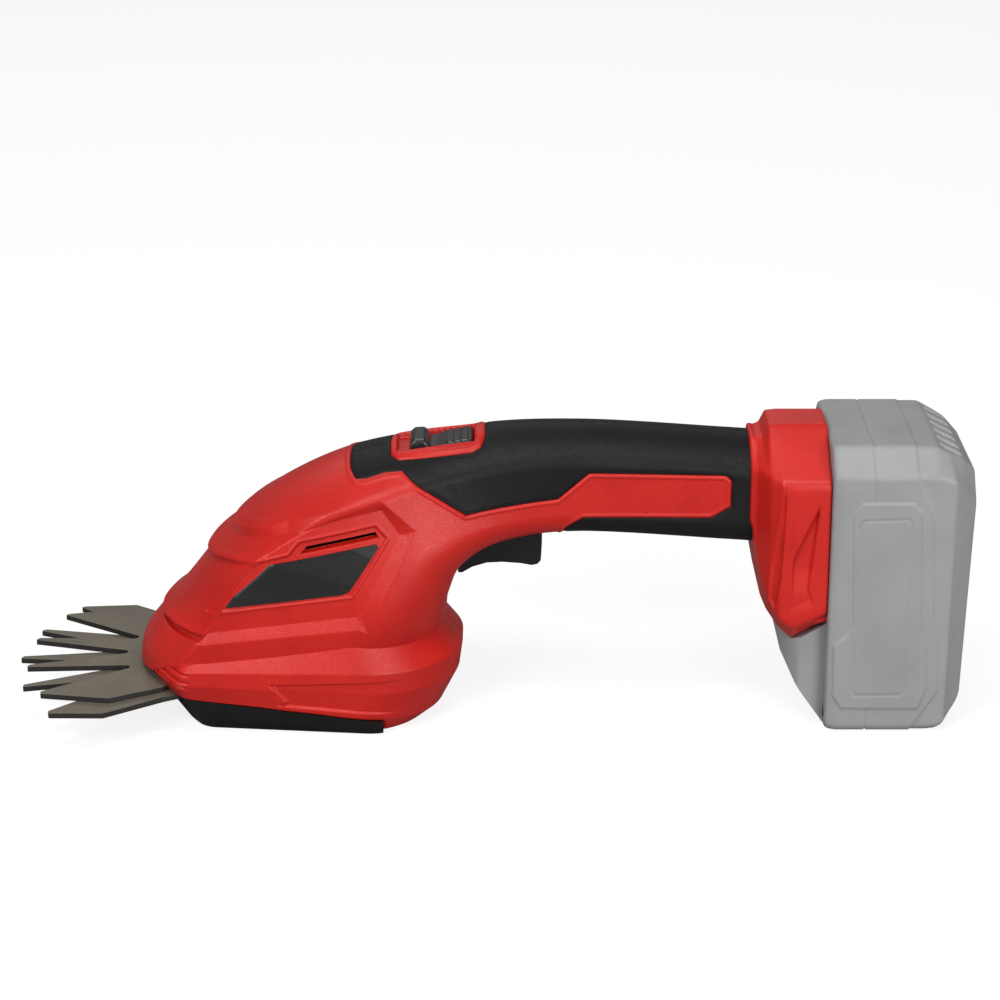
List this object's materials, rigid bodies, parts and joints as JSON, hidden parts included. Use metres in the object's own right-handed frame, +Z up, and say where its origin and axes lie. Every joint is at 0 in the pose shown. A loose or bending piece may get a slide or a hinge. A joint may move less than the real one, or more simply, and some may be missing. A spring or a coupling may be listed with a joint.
{
  "type": "cordless grass shear",
  "caption": "Battery hand shear: fixed comb blade with an oscillating blade over it, gear motor in the head, bail handle with trigger and lock, slide-on battery.",
  "frame": {"origin": "centre of the overall box on the ground plane that the sole and the battery stand on", "axes": "-X is the cutting end, +X the battery end, +Z up; Y=0 is the parting plane of the housing"},
  "size_m": [0.354, 0.1058, 0.1106],
  "materials": {
    "red_shell": "fine-textured red ABS",
    "black_grip": "matt soft overmould",
    "black_plastic": "satin black nylon",
    "rating_plate": "satin black foil, bare",
    "blade_steel": "blackened, ground teeth",
    "bright_steel": "zinc-plated steel",
    "bronze": "sintered bronze",
    "cast_alloy": "die-cast, as cast",
    "magnet": "sintered ferrite",
    "grey_shell": "fine-textured grey ABS",
    "cell_sleeve": "shrink sleeve",
    "board": "circuit board",
    "inner_plastic": "natural nylon"
  },
  "bodies": {
    "housing": {"housing_left": "red_shell", "housing_right": "red_shell", "grip_left": "black_grip", "grip_right": "black_grip", "rating_plate": "rating_plate", "housing_screws": "bright_steel", "sole_cover": "black_plastic", "sole_screws": "bright_steel", "lower_blade": "blade_steel", "pivot_bush": "bright_steel", "pivot_washer": "bright_steel", "pivot_bolt": "bright_steel", "pivot_nut": "bright_steel", "spring_washer": "bright_steel", "blade_spacers": "bright_steel", "blade_screws": "bright_steel", "gear_case_lower": "cast_alloy", "gear_case_upper": "cast_alloy", "drive_bearing": "bronze", "idler_pin": "bright_steel", "motor_can": "bright_steel", "motor_magnets": "magnet", "motor_cap": "black_plastic", "motor_tabs": "bronze", "trigger_pin": "bright_steel", "trigger_spring": "bright_steel", "switch_body": "black_plastic", "lock_leaf": "bright_steel", "terminal_block": "black_plastic", "tool_terminals": "bronze"},
    "upper_blade": {"upper_blade": "blade_steel"},
    "drive": {"drive_gear": "bright_steel", "crank_roller": "bright_steel"},
    "idler": {"idler_gear": "inner_plastic"},
    "rotor": {"motor_rotor": "bright_steel", "motor_pinion": "bronze"},
    "trigger": {"trigger": "black_plastic"},
    "plunger": {"switch_plunger": "inner_plastic"},
    "lock": {"lock_slider": "black_plastic"},
    "battery": {"battery_front_shell": "grey_shell", "battery_rear_shell": "grey_shell", "battery_cells": "cell_sleeve", "cell_strips": "bright_steel", "cell_holder_left": "inner_plastic", "cell_holder_right": "inner_plastic", "battery_board": "board", "battery_clips": "bronze"},
    "latch": {"battery_latch_button": "grey_shell"}
  },
  "joints": [
    {"name": "motor_spin", "type": "hinge", "parent": "housing", "child": "rotor", "pos_m": [-0.0604, 0, 0.0337], "axis": [0, 0, 1], "continuous": true},
    {"name": "idler_spin", "type": "hinge", "parent": "housing", "child": "idler", "pos_m": [-0.06497, 0.01518, 0.0259], "axis": [0, 0, 1], "continuous": true},
    {"name": "drive_spin", "type": "hinge", "parent": "housing", "child": "drive", "pos_m": [-0.0724, 0, 0.0209], "axis": [0, 0, 1], "continuous": true},
    {"name": "blade_swing", "type": "hinge", "parent": "housing", "child": "upper_blade", "pos_m": [-0.0924, 0, 0.0145], "axis": [0, 0, 1], "range_deg": [-7.5, 7.5]},
    {"name": "trigger_pull", "type": "hinge", "parent": "housing", "child": "trigger", "pos_m": [-0.004, 0, 0.0665], "axis": [0, -1, 0], "range_deg": [0, 9], "stiffness_Nm_per_rad": 0.5, "springref_deg": -11.46, "deforming": ["trigger_spring"]},
    {"name": "switch_press", "type": "slide", "parent": "housing", "child": "plunger", "axis": [0, 0, 1], "range_m": [0, 0.0022]},
    {"name": "lock_slide", "type": "slide", "parent": "housing", "child": "lock", "axis": [-1, 0, 0], "range_m": [0, 0.0046], "stiffness_N_per_m": 300, "springref_m": -0.01},
    {"name": "battery_slide", "type": "slide", "parent": "housing", "child": "battery", "axis": [0, 0, -1], "range_m": [0, 0.075]},
    {"name": "latch_press", "type": "slide", "parent": "battery", "child": "latch", "axis": [1, 0, 0], "range_m": [0, 0.0025], "stiffness_N_per_m": 600, "springref_m": -0.005}
  ],
  "couplings": [
    {"joint": "idler_spin", "follows": "motor_spin", "ratio": -0.25},
    {"joint": "drive_spin", "follows": "motor_spin", "ratio": 0.1},
    {"joint": "switch_press", "follows": "trigger_pull", "m_per_rad": 0.013}
  ]
}
